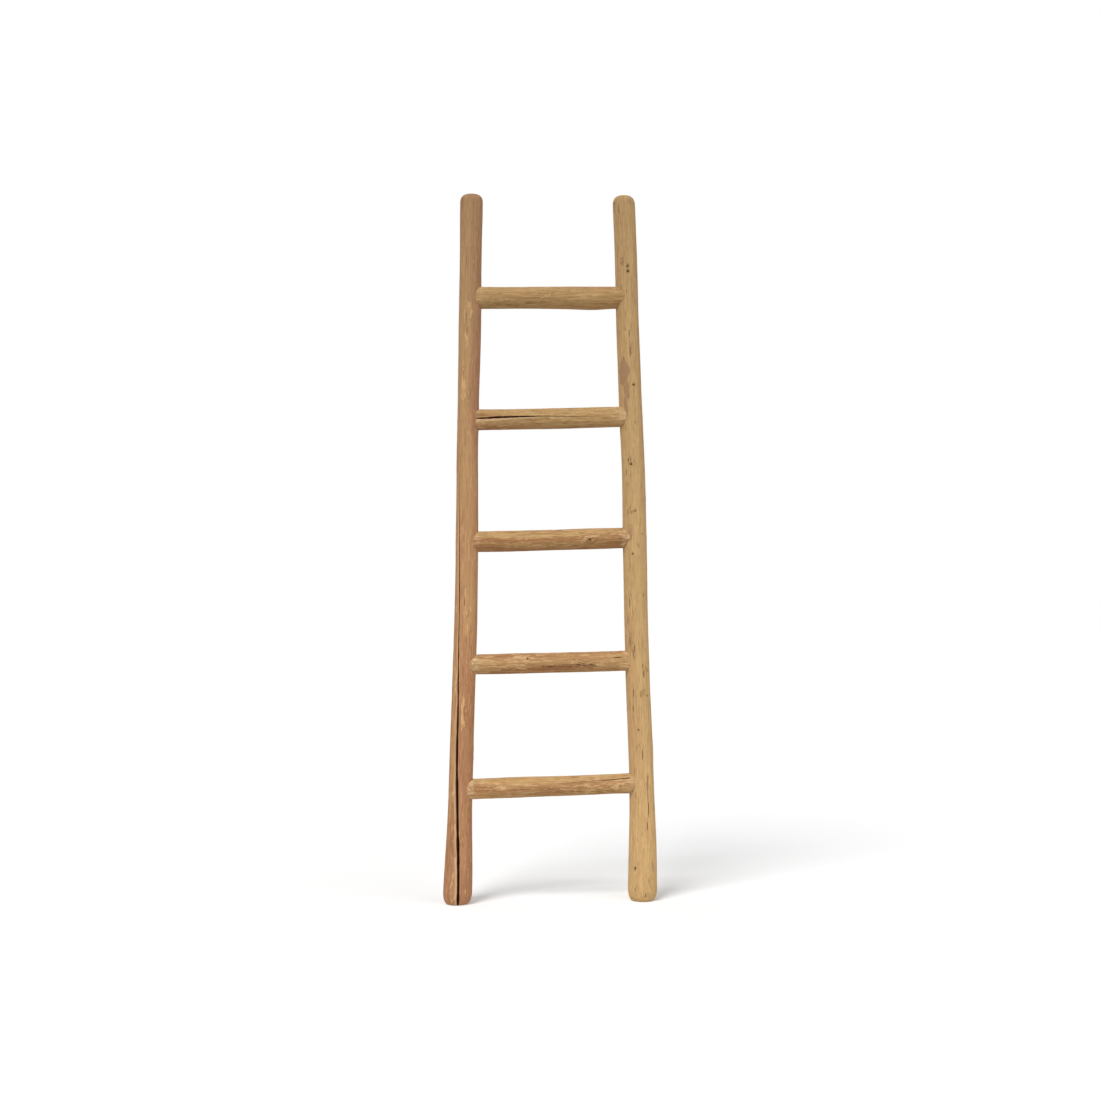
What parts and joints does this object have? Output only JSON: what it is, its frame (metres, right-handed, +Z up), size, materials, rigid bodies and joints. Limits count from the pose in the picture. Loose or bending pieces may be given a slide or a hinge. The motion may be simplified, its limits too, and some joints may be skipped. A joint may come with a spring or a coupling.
{
  "type": "blanket ladder",
  "caption": "Rustic blanket ladder: peeled round side poles with rungs coped over them, held by plugged screws, for hanging folded blankets and towels.",
  "frame": {"origin": "on the floor, midway between the feet and between the front and the back, at the centre of the bounding box's base", "axes": "+X along the rungs to the right seen from the front, +Y to the back, +Z up along the ladder. In use the ladder is tilted back against a wall; here it stands upright."},
  "size_m": [0.5253, 0.0728, 1.75],
  "materials": {
    "rail_left_wood": "peeled pole, pinkish brown with yellow streaks, dry and matte",
    "rail_right_wood": "peeled pole, golden tan, dry and matte",
    "rung_wood": "peeled pole, tan with flecks of inner bark, dry and matte",
    "plug_wood": "turned face-grain plug, sanded flush",
    "screw_steel": "zinc plated wood screw"
  },
  "bodies": {
    "root": {"rail_left": "rail_left_wood", "rail_right": "rail_right_wood", "rung_1": "rung_wood", "rung_2": "rung_wood", "rung_3": "rung_wood", "rung_4": "rung_wood", "rung_5": "rung_wood", "screw_left_1": "screw_steel", "plug_left_1": "plug_wood", "screw_left_2": "screw_steel", "plug_left_2": "plug_wood", "screw_left_3": "screw_steel", "plug_left_3": "plug_wood", "screw_left_4": "screw_steel", "plug_left_4": "plug_wood", "screw_left_5": "screw_steel", "plug_left_5": "plug_wood", "screw_right_1": "screw_steel", "plug_right_1": "plug_wood", "screw_right_2": "screw_steel", "plug_right_2": "plug_wood", "screw_right_3": "screw_steel", "plug_right_3": "plug_wood", "screw_right_4": "screw_steel", "plug_right_4": "plug_wood", "screw_right_5": "screw_steel", "plug_right_5": "plug_wood"}
  },
  "joints": []
}
